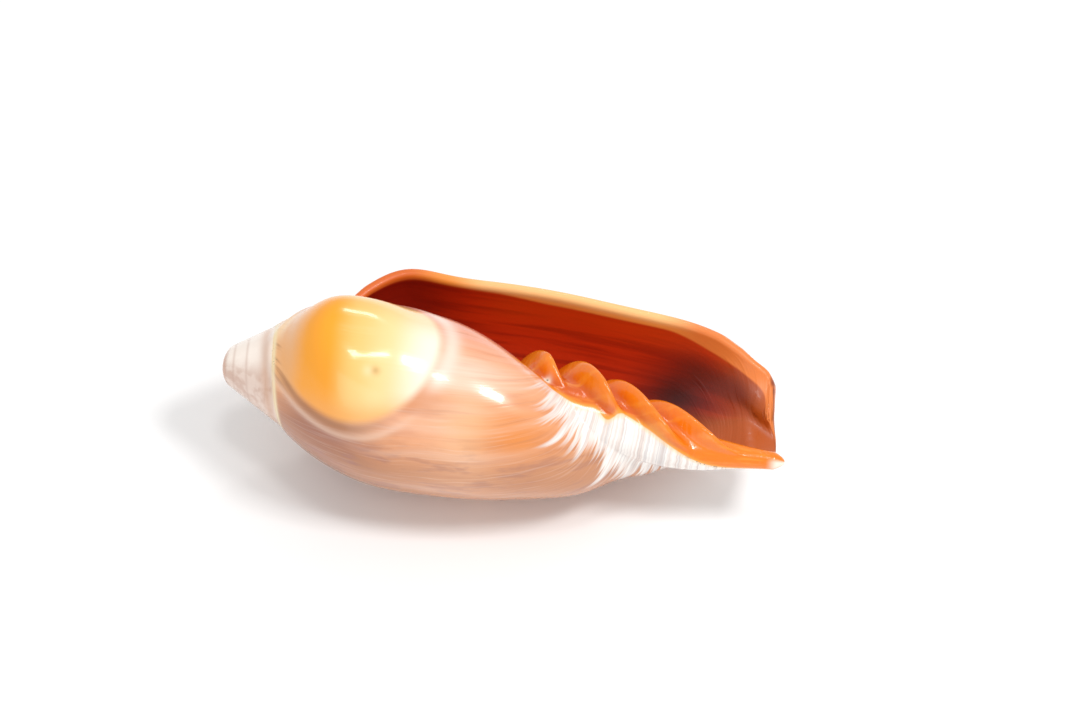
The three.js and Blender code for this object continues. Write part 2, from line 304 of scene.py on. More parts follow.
def spire_radius(g, x, turn):
    """A straight cone with a blunt round nose, which ends inside the last turn."""
    behind_lip = ease(*SPIRE["joins lip"], turn)
    end = suture_place(g, turn) * behind_lip + suture_place(g, turn * 0 + 360) * (1 - behind_lip)
    near = lowest(x, end)
    nose = (1 - (1 - share(near / g["apex nose"])) ** SPIRE["nose"]).math("SQRT")
    outside = (g["spire radius"] + g["spire slope"] * near) * nose
    return highest(outside - SPIRE["falls inside"] * highest(x - end, 0.0), 0.0)


def whorl_radius(g, x, turn):
    """One turn of the shell: the same outline, smaller the further back it was grown."""
    size = g["whorl growth"] ** (turn / -360)
    start = suture_place(g, turn)
    widest = g["widest place"] * size
    start_radius = g["spire radius"] + g["spire slope"] * start
    rise = 1 - (1 - share((x - start) / (widest - start))) ** WHORL["rise"]
    past_start = lowest(start - x, 0.0) / WHORL["step length"]
    step = g["whorl step"] * size * (1 - past_start.math("EXPONENT"))
    back = start_radius + (g["widest radius"] * size - start_radius) * rise + step
    waist = ease(*WHORL["waist turns"], turn)
    end = g["length"] * size * (1 + WHORL["waist longer"] * waist)
    front = share((x - widest) / (end - widest)) ** (WHORL["front"] + WHORL["front at waist"] * waist)
    return back * (1 - front) ** (WHORL["root"] + WHORL["root at waist"] * waist) * (x > start)


def lip_rise(g, x, turn):
    """The lip stands out at the shoulder and the front, and draws in at its middle."""
    near_lip = bell(turn, 0.0, LIP_SPREAD) * ease(g["suture place"], LIP_FULL_AT, x)
    return near_lip * swellings(x, LIP_SWELLINGS)


def neck_rise(x, turn):
    """In front of the last turn the shell draws in to a neck, then fills out again."""
    rising, falling = NECK_TURNS
    return ease(*rising, turn) * (1 - ease(*falling, turn)) * swellings(x, NECK_SWELLINGS)


def canal_height(g, x, turn):
    """The trough for the siphon, on the lip's side of the pillar."""
    end = CANAL["end turn"] - CANAL["end turn less"] * ease(*CANAL["less along"], x)
    return g["canal height"] * (1 - ease(CANAL["from turn"], end, turn)) * ease(*CANAL["along"], x)


def fold_height(g, x, turn):
    """Folds that wind up the pillar: steep on their front side, sloping on the other."""
    found = x * 0
    climb = g["whorl growth"] ** (g["fold climb"] * (turn - FOLD["climbs from"]) / -360)
    lower = 1 - FOLD["lower"] * ease(*FOLD["lower turns"], turn)
    for fold in FOLDS:
        offset = x - fold["place"] * climb
        side = fold["width"] * (FOLD["side"] + FOLD["steeper side"] * (offset > 0.0))
        ridge = (-((offset / side).math("ABSOLUTE") ** FOLD["sharpness"])).math("EXPONENT")
        grown = ease(fold["start"] + FOLD["begins"], fold["start"] + FOLD["full"], turn)
        height = fold["height"] * ridge * grown * lower
        found = softest_highest(found, height, FOLD["blend"]) - FOLD["blend"] / 2
    return found


def pad_reach(g, x, turn):
    """1 round the edge of the pad, and 0 at its middle."""
    half_length = g["pad half length"] - PAD["shorter back"] * (x < g["pad place"])
    off = (x - g["pad place"]) / half_length
    round_off = (turn - g["pad turn"]) / g["pad half turn"]
    return (off * off + round_off * round_off).math("SQRT")


def pad_height(g, reach, x, turn):
    """A thick pad, highest in a knob towards its back, with a rolled glaze outside its edge."""
    knob = bell(x, KNOB["place"], KNOB["length"]) * bell(turn, KNOB["turn"], KNOB["spread"])
    knob = g["knob height"] * knob * ease(*KNOB["along"], x)
    glaze = g["glaze height"] * (1 - ease(*GLAZE["edge"], reach)) * (1 - ease(*GLAZE["ends along"], x))
    roll = ROLL["height"] * bell(reach, ROLL["reach"], ROLL["width"]) * (1 - ease(*ROLL["ends along"], x))
    return g["pad height"] * (1 - ease(*PAD["slope"], reach)) + knob + glaze + roll


# The distance from the coiling axis, and the point there, at a place and turn
surface = Group("shell surface", ["along", "turn"], {"point": VECTOR, "radius": FLOAT})
x, turn = surface["along"], surface["turn"]
whorls = spire_radius(surface, x, turn)
for inner in range(3):
    whorls = highest(whorls, whorl_radius(surface, x, turn + 360.0 * inner))
near_pillar = ease(*PILLAR["along"], x)
whorls = whorls * (1 - (whorls / -PILLAR["whorls end softly"]).math("EXPONENT") * near_pillar)
whorls = whorls + lip_rise(surface, x, turn) + neck_rise(x, turn)
taper = ease(PILLAR["taper from"], surface["length"], x)
pillar = surface["pillar radius"] + (surface["pillar tip radius"] - surface["pillar radius"]) * taper
softer = ease(*PILLAR["softer turns"], turn) * (1 - ease(*PILLAR["softer up to"], x))
softness = PILLAR["softness"] + PILLAR["softer"] * softer
joined = softest_highest(whorls, pillar + canal_height(surface, x, turn), softness)
radius = whorls + (joined - whorls) * near_pillar
pad = pad_height(surface, pad_reach(surface, x, turn), x, turn)
radius = radius + pad + fold_height(surface, x, turn)
for dent in DENTS:
    hollowed = bell(turn, dent["turn"], dent["spread"]) * bell(x, dent["place"], dent["length"])
    radius = radius - dent["depth"] * hollowed
radius = radius * share((surface["length"] - x - TINY / 2) / TIP_ROUND).math("SQRT")
bend = highest(ease(*BEND["turns"], turn), ease(*BEND["tip"], x))
bend = bend * surface["axis bend"] * ease(*BEND["along"], x)
angle = in_radians(turn)
across = radius * angle.math("SINE") + bend * sin(radians(BEND["towards"]))
up = radius * angle.math("COSINE") + bend * cos(radians(BEND["towards"]))
point = Wire.node(surface.tree, "ShaderNodeCombineXYZ", None, {0: x, 1: across, 2: up})
surface.give(point=point, radius=radius)


# The surface with its outward direction, the wall's thickness, and how far the lip's edge is
# rounded over: 0 on the edge itself and 1 from half a wall behind it
wall_gives = {"point": VECTOR, "outward": VECTOR, "thickness": FLOAT, "rounding": FLOAT, "radius": FLOAT}
wall = Group("shell wall", ["along", "turn"], wall_gives)
x, turn = wall["along"], wall["turn"]
here = surface.within(wall, "point", along=x, turn=turn)
ahead = surface.within(wall, "point", along=lowest(x + LOOK_ALONG, wall["length"]), turn=turn)
behind = surface.within(wall, "point", along=highest(x - LOOK_ALONG, 0.0), turn=turn)
later = surface.within(wall, "point", along=x, turn=turn + LOOK_TURN)
earlier = surface.within(wall, "point", along=x, turn=turn - LOOK_TURN)
outward = ahead.vector("SUBTRACT", behind).vector("CROSS_PRODUCT", later.vector("SUBTRACT", earlier))
outward = outward.vector("NORMALIZE")
step = here.vector("SUBTRACT", surface.within(wall, "point", along=x, turn=turn + 360.0))
angle = in_radians(turn)
away = {1: angle.math("SINE"), 2: angle.math("COSINE")}
out = Wire.node(wall.tree, "ShaderNodeCombineXYZ", None, away)
gap = highest(step.vector("DOT_PRODUCT", out, output="Value"), 0.0)
thickness = wall["wall"] * (1 - (-WALL_FILL * gap / wall["wall"]).math("EXPONENT"))
slope = in_radians(lip_turn(x + LOOK_EDGE) - lip_turn(x - LOOK_EDGE)) / (2 * LOOK_EDGE) * here.also("radius")
behind_lip = in_radians(turn - lip_turn(x)) * here.also("radius") / (1 + slope * slope).math("SQRT")
rounding = quarter_round(behind_lip, highest(thickness * 0.5, TINY))
radius = here.also("radius")
wall.give(point=here, outward=outward, thickness=thickness, rounding=rounding, radius=radius)


def row_place(g, row):
    """How far along the shell a row of points lies: closer together where the form turns quickly."""
    spire = g["suture place"] * share(row / ROWS["spire"]) ** ROW_CROWDING["spire"]
    row = row - ROWS["spire"]
    shoulder = share(row / ROWS["shoulder"]) ** ROW_CROWDING["shoulder"]
    shoulder = (ROW_PLACES["folds from"] - g["suture place"]) * shoulder
    row = row - ROWS["shoulder"]
    folds = (ROW_PLACES["folds to"] - ROW_PLACES["folds from"]) * share(row / ROWS["folds"])
    row = row - ROWS["folds"]
    front = 1 - (1 - share(row / ROWS["front"])) ** ROW_CROWDING["front"]
    front = (g["length"] - ROW_PLACES["folds to"]) * front
    return spire + shoulder + folds + front


def along_folds(g, place, ahead):
    """Near the pillar the rows climb with the folds. ahead is how far before turn 360 a point lies."""
    before = highest(ahead, 0.0) * (1 - ease(*ROW_CLIMB["turns"], ahead))
    inside = ROW_CLIMB["inside"] * (lowest(ahead, 0.0) / ROW_CLIMB["inside"]).math("TANH")
    climb = ease(*ROW_CLIMB["along"], place) * (1 - ease(ROW_CLIMB["front from"], g["length"], place))
    return place * (1 + climb * (g["whorl growth"] ** (g["fold climb"] * (before + inside) / 360) - 1))


def sheet(g, rows, columns, skipped):
    """A grid of points, and the place along the shell and the share across of each."""
    size = {"Vertices X": rows, "Vertices Y": columns + 1}
    grid = Wire.node(g.tree, "GeometryNodeMeshGrid", None, size)
    index = Wire.node(g.tree, "GeometryNodeInputIndex")
    row = ((index + 0.5) / (columns + 1)).math("FLOOR")
    column = index - row * (columns + 1)
    return grid, row_place(g, row + skipped), column / columns, row


def stored(mesh, name, value, domain):
    settings = {"data_type": "FLOAT", "domain": domain}
    sockets = {"Geometry": mesh, "Name": name, "Value": value}
    return Wire.node(mesh.tree, "GeometryNodeStoreNamedAttribute", settings, sockets)


def placed(g, grid, point, along, turn, face):
    """The sheet with its points in place, and what the colours need stored on it."""
    kept = {
        "along": along,
        "turn": turn,
        "fold": fold_height(g, along, turn),
        "pad": pad_reach(g, along, turn),
        "face": along * 0 + face,
    }
    mesh = Wire.node(g.tree, "GeometryNodeSetPosition", None, {"Geometry": grid, "Position": point})
    for name, value in kept.items():
        mesh = stored(mesh, f"{name} at point", value, "POINT")
    return mesh


body_rows = ROWS["shoulder"] + ROWS["folds"] + ROWS["front"] + 1
grown = Group("shell", [], {"Geometry": GEOMETRY})
grown.tree.interface.new_socket("material", in_out="INPUT", socket_type="NodeSocketMaterial")

# The outside, all the way round from the lip's edge to the surface that the lip has grown over
grid, place, across, row = sheet(grown, body_rows + ROWS["spire"], OUTSIDE_COLUMNS, 0)
lip = lip_turn(place)
run_out = (place > LIP_RUNS_OUT) * (across < TINY / 10)
turn = lip + across ** OUTSIDE_CROWDING * (360 - lip) + 360 * run_out
along = along_folds(grown, place, (360 - turn) * (1 - run_out))

# Its rows follow the suture too, until they turn back to meet the first ones under the lip
shift = (grown["suture place"] - suture_place(grown, turn)) * ease(*SUTURE_ROWS_END, turn)
past_suture = share((place - grown["suture place"]) / (grown["length"] - grown["suture place"]))
along = along - shift * lowest(place / grown["suture place"], (1 - past_suture) ** 3)
point = wall.within(grown, "point", along=along, turn=turn)
inset = point.also("thickness") * 0.5 * (1 - point.also("rounding"))
inset = inset * (along > grown["suture place"]) * (1 - run_out)
edge_point = point.vector("SUBTRACT", point.also("outward").scaled(inset))
outside = placed(grown, grid, edge_point, along, turn - 360 * run_out, OUTSIDE_FACE)

# The strip under the notch, from there round to where the lip's edge stands on that surface
grid, place, across, row = sheet(grown, body_rows, NOTCH_COLUMNS, ROWS["spire"])
turn = 360 + across * lip_turn(place)
point = surface.within(grown, "point", along=place, turn=turn)
notch = placed(grown, grid, point, place, turn, NOTCH_FACE)


# The hollow's two faces: its floor is the turn inside, and its roof the inner face of the wall
def hollow(face):
    grid, place, across, row = sheet(grown, body_rows, HOLLOW_COLUMNS, ROWS["spire"])
    lip = lip_turn(place)
    narrowing = grown["hollow turn"] - grown["hollow front turn"]
    narrowing = narrowing * ease(*HOLLOW["narrows along"], place)
    narrowing = narrowing + HOLLOW["front less"] * ease(*HOLLOW["front along"], place)
    end = highest(grown["hollow turn"] - narrowing, lip + HOLLOW["least"])
    depth = across ** HOLLOW_CROWDING * (place < LIP_RUNS_OUT)
    turn = lip + depth * (end - lip)
    far = (place - grown["suture place"]) / (grown["length"] - grown["suture place"])
    start = suture_place(grown, grown["hollow turn"] * depth)
    start = start + grown["hollow behind suture"] * (1 - (depth / -HOLLOW["start"]).math("EXPONENT"))
    along = along_folds(grown, place, lip - turn) + (start - grown["suture place"]) * (1 - far) ** 3
    under = surface.within(grown, "point", along=along, turn=turn + 360)
    if face == FLOOR_FACE:
        return placed(grown, grid, under, along, turn + 360, face)
    over = wall.within(grown, "point", along=along, turn=turn)
    inset = over.also("thickness") * (0.5 + 0.5 * over.also("rounding"))
    roof = over.vector("SUBTRACT", over.also("outward").scaled(inset))
    size = highest(over.also("radius"), HOLLOW["least radius"]) * HOLLOW["end size"]
    reach = lowest(grown["hollow end round"], TINY + in_radians(end - lip) * size)
    back_round = quarter_round(place - grown["suture place"], grown["hollow back round"])
    opening = quarter_round(in_radians(end - turn) * size, reach)
    opening = opening * (1 - (1 - back_round) * ease(0.0, HOLLOW["start"], depth))
    opening = opening * (row > 0.5) * (place < LIP_RUNS_OUT)
    rise = roof.vector("SUBTRACT", under).scaled(opening)
    return placed(grown, grid, under.vector("ADD", rise), along, turn, face)


roof = Wire.node(grown.tree, "GeometryNodeFlipFaces", None, {"Mesh": hollow(ROOF_FACE)})
joined = grown.tree.nodes.new("GeometryNodeJoinGeometry")
for part in (hollow(FLOOR_FACE), roof, notch, outside):
    grown.tree.links.new(part.socket, joined.inputs[0])
mesh = Wire(joined.outputs[0])
KEPT = ("along", "turn", "fold", "pad", "face")
for name in KEPT:
    value = Wire.node(grown.tree, "GeometryNodeInputNamedAttribute", {"data_type": "FLOAT"},
                      {"Name": f"{name} at point"})
    mesh = stored(mesh, name, value, "CORNER")
for name in KEPT:
    sockets = {"Geometry": mesh, "Name": f"{name} at point"}
    mesh = Wire.node(grown.tree, "GeometryNodeRemoveAttribute", None, sockets)
mesh = Wire.node(grown.tree, "GeometryNodeMergeByDistance", None, {"Geometry": mesh, "Distance": WELD})
mesh = Wire.node(grown.tree, "GeometryNodeSetShadeSmooth", None, {"Geometry": mesh})
mesh = Wire.node(grown.tree, "GeometryNodeRealizeInstances", None, {"Geometry": mesh})
sockets = {"Geometry": mesh, "Material": Wire(grown.first.outputs["material"])}
grown.give(Geometry=Wire.node(grown.tree, "GeometryNodeSetMaterial", None, sockets))


# What the shell's surface looks like
def paint(code):
    """A colour written as red, green and blue of a screen, as the light that it sends back."""
    parts = [int(code[i:i + 2], 16) / 255 for i in (1, 3, 5)]
    return (*[(c + 0.055) ** 2.4 / 1.055 ** 2.4 if c > 0.04045 else c / 12.92 for c in parts], 1)


NOISE_ROUGHNESS = 0.55
porcelain = bpy.data.materials.new("shell porcelain")
porcelain.use_nodes = True
tree = porcelain.node_tree
gloss = tree.nodes["Principled BSDF"]


def read(name):
    return Wire.node(tree, "ShaderNodeAttribute", {"attribute_name": name}, output="Fac")


def mixed(base, colour, amount):
    """base with so much of the other colour in it. Either is a wire, or a code like #rrggbb."""
    first, second = (paint(c) if isinstance(c, str) else c for c in (base, colour))
    return Wire.node(tree, "ShaderNodeMix", {"data_type": "RGBA"}, {0: amount, 6: first, 7: second}, 2)


along, turn, face = read("along"), read("turn"), read("face")
fold, pad = read("fold"), read("pad")


def noise(seed, along_size, turn_size, detail=2.0, over=turn):
    """Noise whose grains are so many millimetres along the shell and degrees of growth across."""
    axes = {0: along / along_size, 1: over / turn_size, 2: seed}
    place = Wire.node(tree, "ShaderNodeCombineXYZ", None, axes)
    sockets = {"Vector": place, "Scale": 1.0, "Detail": detail, "Roughness": NOISE_ROUGHNESS}
    return Wire.node(tree, "ShaderNodeTexNoise", None, sockets)


def spot(place, length, at_turn, spread):
    """A soft patch on the shell, 1 at its middle."""
    return bell(along, place, length) * bell(turn, at_turn, spread)


# The edge of the lip leaves a fine line on the shell at each age: along the last turn, and bent
# round across the front of the shell, where the notch was. age is the same all along such a line
NOTCH_LINES = {"place": 94, "degrees": 504.9, "bend": 40.0}
notch_turn = (NOTCH_LINES["place"] / highest(along, 1.0)).math("LOGARITHM", 2.718)
notch_turn = NOTCH_LINES["degrees"] * notch_turn
growth_gap = turn - notch_turn
age = (turn + notch_turn - (growth_gap * growth_gap + NOTCH_LINES["bend"] ** 2).math("SQRT")) * 0.5
age = age + 5 * (noise(11.3, 9.0, 24.0, 1.0) - 0.5)
hair_lines = noise(3.1, 12.0, 1.6, 2.0, age)
fine_lines = noise(5.9, 16.0, 4.0, 2.0, age)
broad_lines = noise(7.7, 26.0, 11.0, 1.0, age)
patches = noise(1.3, 13.0, 16.0, 3.0)
small_patches = noise(4.4, 6.0, 7.0, 3.0)

# The last turn: peach, pinker by the mouth, with an orange patch, a pale patch of painted sheen on its back,
# and browner lower down
colour = mixed("#dd9467", "#e9a273", ease(0.4, 0.6, patches))
colour = mixed(colour, "#f3ba8b", spot(46.0, 5.0, 215.0, 34.0) * 0.85)
colour = mixed(colour, "#e68c42", spot(54.0, 5.5, 208.0, 24.0) * 0.9)
# Painted sheen: a pale patch where the overhead highlights fall on the back of the last turn
colour = mixed(colour, "#fbd9c4", spot(44.0, 9.0, 253.0, 15.0) * 0.75)
mouthward = turn + 36 * (broad_lines - 0.5)
colour = mixed(colour, "#f2a37f", ease(260.0, 288.0, mouthward) * 0.8)
colour = mixed(colour, "#d9775a", ease(282.0, 312.0, mouthward) * 0.9)
lower = 0.8 * ease(208.0, 178.0, turn)
brown = share(lower + 0.9 * bell(along, 18.0, 9.0) * ease(228.0, 208.0, turn))
brown_tone = mixed("#bf8158", "#d69a72", bell(along, 45.0, 7.0))
colour = mixed(colour, mixed(brown_tone, "#a5694b", bell(along, 19.0, 8.0) * 0.8), brown)
mauve = ease(0.47, 0.68, small_patches) * ease(214.0, 186.0, turn)
colour = mixed(colour, "#a76f5c", mauve * (0.45 + 0.4 * bell(along, 22.0, 9.0)))
colour = mixed(colour, "#9c5c4a", spot(23.0, 7.0, 198.0, 10.0) * 0.5)
colour = mixed(colour, "#fbe3d3", ease(0.5, 0.8, hair_lines) * 0.2)
colour = mixed(colour, "#b8785a", ease(0.52, 0.75, 1 - fine_lines) * 0.3)
colour = mixed(colour, "#fff0e6", ease(0.55, 0.8, broad_lines) * 0.12)

# White glaze over the front, drawn out in wisps along the growth lines, which show in it as grey
wisps = 130 * (fine_lines - 0.5) + 100 * (broad_lines - 0.5)
white = ease(-14.0, 16.0, growth_gap - 6 + wisps) * ease(50.0, 62.0, along)
mid_lines = noise(4.9, 8.0, 7.0, 3.0, age)
ivory = mixed("#faf4ee", "#e0cdc3", ease(0.44, 0.6, fine_lines) * 0.8)
ivory = mixed(ivory, "#fdfaf6", ease(0.5, 0.64, mid_lines) * 0.7)
ivory = mixed(ivory, "#c4bcbc", ease(0.53, 0.66, noise(6.6, 7.0, 2.6, 2.0, age)) * 0.55)
colour = mixed(colour, ivory, white)


# The spire: pale, pinkish grey, painted near white on its upper side as painted light, with a cream line
# where each turn meets the last
def ring_noise(seed, along_size, turn_size):
    """Noise that meets itself where the degrees run out, at the lip."""
    angle = in_radians(turn)
    loop = degrees(1) / turn_size
    round_axes = {1: angle.math("SINE") * loop, 2: angle.math("COSINE") * loop}
    place = Wire.node(tree, "ShaderNodeCombineXYZ", None, {0: along / along_size + seed, **round_axes})
    return Wire.node(tree, "ShaderNodeTexNoise", None, {"Vector": place, "Scale": 1.0, "Detail": 3.0})


last_suture = SIZES["suture place"] * SIZES["whorl growth"] ** (turn / -360)
off_suture = along - last_suture
near_lip = ease(306.0, 356.0, turn)
spire = mixed("#e8d0c2", "#d6b6a5", ease(0.42, 0.62, ring_noise(6.1, 2.2, 20.0)))
spire = mixed(spire, "#c8a596", ease(0.5, 0.68, ring_noise(9.6, 0.7, 60.0)) * 0.35)
# Painted light: the spire's upper side turned near white, for the light falling on it from above
spire = mixed(spire, "#fff3e8", ease(214.0, 258.0, turn) * ease(350.0, 300.0, turn) * 0.9)
shaded = bell(off_suture, -1.3, 1.0) * ease(8.0, 50.0, turn) * (1 - near_lip)
spire = mixed(spire, "#cf9a76", shaded * 0.55)
for turns_back in (1, 2):
    older_suture = last_suture / SIZES["whorl growth"] ** turns_back
    spire = mixed(spire, "#c4a08e", bell(along - older_suture, 0.1, 0.25) * 0.35)
spire = mixed(spire, "#c4a08e", bell(off_suture, 0.1, 0.25) * near_lip * 0.35)
spire = mixed(spire, "#c07a48", ease(1.5, 0.4, along) * 0.9)

# Behind the pad the last turn is tan, with brown streaks that slant down and forwards
slanted = noise(8.2, 9.0, 6.0, 2.0, turn + 5 * along)
tan = mixed("#f0b47c", "#b98253", ease(0.48, 0.66, slanted) * 0.7)
# Painted light: the tan made paler on its upper side, where the light from above falls
tan = mixed(tan, "#fddcb4", ease(262.0, 288.0, turn) * ease(325.0, 292.0, turn) * 0.8)
tan = mixed(tan, "#e3a27c", ease(292.0, 325.0, turn) * 0.8)
tan_edge = along + 7 * (broad_lines - 0.5) + 5 * ease(275.0, 340.0, turn)
beside_pad = ease(-0.05, 0.05, off_suture) * ease(20.0, 13.0, tan_edge) * ease(212.0, 232.0, turn)
colour = mixed(colour, tan, beside_pad)
on_spire = highest(ease(0.05, -0.05, off_suture), near_lip * ease(18.5, 13.0, along))
colour = mixed(colour, spire, on_spire)
line_width = 0.24 + 0.18 * ease(120.0, 190.0, turn)
colour = mixed(colour, "#f8e2b4", bell(off_suture, 0.3, line_width) * (1 - near_lip) * 0.95)
specks = ease(0.62, 0.7, noise(2.7, 0.5, 2.4, 1.0)) * bell(off_suture, 0.5, 0.6)
colour = mixed(colour, "#8d8763", specks * bell(turn, 252.0, 9.0) * 0.8)

# The pad: orange-yellow at its back, fading forwards through pale yellow to cream, with a painted highlight
# in its dimple and a painted shadow line under its lower edge
PAD_COLOURS = [("#fca41e", 13.0, 17.0), ("#fac672", 20.5, 26.0), ("#fad896", 25.0, 31.0),
               ("#fdf1dc", 30.0, 38.0)]
pad_colour = "#f0ae6c"
for code, starts, full in PAD_COLOURS:
    pad_colour = mixed(pad_colour, code, ease(starts, full, along))
pad_colour = mixed(pad_colour, "#f6a850", bell(pad, 0.97, 0.2) * ease(236.0, 216.0, turn) * 0.75)
pad_colour = mixed(pad_colour, "#f9be62", ease(268.0, 302.0, turn) * ease(20.0, 28.0, along) * 0.6)
dimple = spot(29.2, 0.8, 244.5, 2.4)
pad_colour = mixed(pad_colour, "#b98a3e", dimple * 0.55)
# Painted highlight: a light spot on the back side of the dimple
pad_colour = mixed(pad_colour, "#fff3cc", spot(28.0, 0.9, 244.0, 3.0) * 0.3)
# Painted shadow: a dark brown line just outside the pad's lower edge, where it stands up from the shell
pad_edge_painted_shadow = bell(pad, 1.07, 0.07) * ease(244.0, 226.0, turn) * ease(34.0, 26.0, along)
colour = mixed(colour, "#a87450", pad_edge_painted_shadow * 0.75)
roll_below = bell(pad, 1.17, 0.05) * ease(240.0, 214.0, turn) * ease(40.0, 30.0, along)
colour = mixed(colour, "#f0cdb4", roll_below * 0.5)
roll_in_front = bell(pad, 1.13, 0.1) * ease(30.0, 38.0, along) * ease(230.0, 246.0, turn)
colour = mixed(colour, "#fce4d4", roll_in_front * 0.7)
colour = mixed(colour, pad_colour, ease(1.06, 0.93, pad) * ease(0.8, 2.5, off_suture))

# The folds and the inner lip: a bright orange glaze with a clean edge against the white, with painted shade
# in the grooves between the folds
inner_lip = 270 - 105 * ease(70.0, 96.0, along) + 16 * ease(59.0, 54.0, along)
inner_lip = inner_lip - 15 * bell(along, 63.5, 3.5) - 22 * bell(along, 68.7, 1.6)
off_lip = turn - inner_lip
glazed = share(ease(-2.0, 2.0, off_lip) + ease(0.3, 0.9, fold))
glazed = glazed * ease(50.0, 53.0, along + 8.0 * ease(300.0, 420.0, turn))
glow = ease(-13.0, -1.0, off_lip) * ease(58.0, 64.0, along)
colour = mixed(colour, "#fbd08c", glow * 0.55)
# Painted shade: the glaze darker down in the grooves between the folds, lighter up on them and towards the
# front
orange = mixed("#d65c04", "#f27c08", share(ease(0.1, 2.2, fold) + ease(76.0, 86.0, along)))
orange = mixed(orange, "#fcaa3c", ease(14.0, 0.0, off_lip) * 0.75)
orange = mixed(orange, "#fca034", ease(0.5, 0.7, noise(2.2, 5.0, 14.0, 2.0)) * 0.4)
colour = mixed(colour, orange, glazed)
edge_specks = bell(off_lip, -2.0, 4.0) * ease(80.0, 86.0, along)
edge_specks = edge_specks * ease(0.52, 0.62, noise(3.7, 0.5, 7.0, 1.0))
colour = mixed(colour, "#8c7a66", edge_specks * 0.8)
tip = ease(96.6, 98.8, along) * ease(262.0, 220.0, turn) * ease(150.0, 190.0, turn)
colour = mixed(colour, "#f7ecda", tip)
# The first fold's worn pale end, and in it a small dark spot of painted shade for a hole that the mesh
# leaves out
colour = mixed(colour, "#fdf0dc", spot(57.5, 0.7, 288.0, 5.0))
colour = mixed(colour, "#7a5a48", spot(57.5, 0.22, 289.0, 1.6))

# Inside the mouth: deep red-orange, darkest at the back, with painted shade behind the canal, browner in
# front
deep = mixed("#ce2f03", "#ac2202", ease(0.38, 0.62, noise(5.5, 30.0, 5.0, 2.0)))
deep = mixed(deep, "#dc4404", ease(26.0, 8.0, turn) * ease(38.0, 50.0, along) * 0.6)
deep = mixed(deep, "#7c0e02", ease(44.0, 28.0, along) * 0.8)
front_inside = share(ease(84.0, 95.0, along) + ease(76.0, 84.0, along) * ease(44.0, 58.0, turn))
deep = mixed(deep, "#b85414", front_inside)
shadow = bell(turn, 28.0, 12.0) * ease(76.0, 84.0, along) * ease(97.0, 91.0, along)
deep = mixed(deep, "#6a1c06", shadow * 0.85)
# Partly the mouth's own dark red, partly painted shade: a near-black patch deep in the mouth behind the
# canal
deep = mixed(deep, "#420400", spot(80.0, 7.5, 43.0, 19.0) * 0.97)
on_roof_or_floor, on_floor = face > 1.5, face > 2.5
floor_turn = turn - 30 * share(fold) * on_floor
inside = on_roof_or_floor * (1 - on_floor * ease(425.0, 364.0, floor_turn))
colour = mixed(colour, deep, inside)

# The rim of the lip: orange at the back, then cream, and orange-brown round the notch
rim_colour = mixed("#e06a1e", "#f8983a", ease(28.0, 37.0, along))
rim_colour = mixed(rim_colour, "#fdc27c", ease(36.0, 44.0, along))
rim_colour = mixed(rim_colour, "#fca048", ease(1.5, 5.0, turn))
rim_colour = mixed(rim_colour, "#c8440c", ease(1.5, 4.0, turn) * ease(50.0, 38.0, along))
rim_colour = mixed(rim_colour, "#e98038", ease(74.0, 84.0, along))
rim_width = 3.6 + 2.2 * ease(44.0, 56.0, along) + 5.8 * ease(76.0, 88.0, along)
off_edge = turn - lip_turn(along)
rim = ease(rim_width + 1.0, rim_width - 1.0, off_edge) * (off_edge < 30.0) * (1 - on_floor)
colour = mixed(colour, rim_colour, rim * ease(15.5, 17.5, along))
dark_edge = bell(off_edge, 0.0, 1.2) * ease(95.5, 97.0, along) * (1 - on_floor)
colour = mixed(colour, "#8c3a18", dark_edge)

# Glossy all over, a little less so inside, with growth lines that can just be felt
GLOSS = {"roughness": 0.22, "rougher inside": 0.2, "coat": 0.35, "less coat inside": -0.27}
COAT_ROUGHNESS = 0.06
RELIEF = {"Strength": 0.3, "Distance": 0.0002}
tree.links.new(colour.socket, gloss.inputs["Base Color"])
roughness = GLOSS["roughness"] + GLOSS["rougher inside"] * inside
coat = GLOSS["coat"] + GLOSS["less coat inside"] * inside
tree.links.new(roughness.socket, gloss.inputs["Roughness"])
tree.links.new(coat.socket, gloss.inputs["Coat Weight"])
gloss.inputs["Coat Roughness"].default_value = COAT_ROUGHNESS
relief = hair_lines * 0.35 + fine_lines * (0.3 + 0.9 * white)
relief = relief + (slanted - 0.5) * beside_pad - 1.4 * dimple
bump = Wire.node(tree, "ShaderNodeBump", None, {"Height": relief, **RELIEF})
tree.links.new(bump.socket, gloss.inputs["Normal"])


# The mesh, laid on its back as the frame has it, with its lowest point worn to a small flat
grower = bpy.data.objects.new("growing shell", bpy.data.meshes.new("growing shell"))
bpy.context.scene.collection.objects.link(grower)
growth = grower.modifiers.new("growth", "NODES")
growth.node_group = grown.tree
for item in grown.tree.interface.items_tree:
    if item.in_out == "INPUT":
        growth[item.identifier] = SIZES.get(item.name, porcelain)
depsgraph = bpy.context.evaluated_depsgraph_get()
shell_mesh = bpy.data.meshes.new_from_object(grower.evaluated_get(depsgraph), depsgraph=depsgraph)
bpy.data.objects.remove(grower)

shell_mesh.transform(Matrix.Rotation(radians(REST_TURN), 4, "X") @ Matrix.Scale(MM, 4))
floor_height = min(v.co.z for v in shell_mesh.vertices) + REST_FLAT * MM
for vertex in shell_mesh.vertices:
    vertex.co.z = max(vertex.co.z, floor_height)
middle = [(min(places) + max(places)) / 2 for places in zip(*(v.co for v in shell_mesh.vertices))]
shell_mesh.transform(Matrix.Translation((-middle[0], -middle[1], -floor_height)))
shell = bpy.data.objects.new("porcelain_shell", shell_mesh)
bpy.context.scene.collection.objects.link(shell)
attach(shell, "root")
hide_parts("marginella_shell")


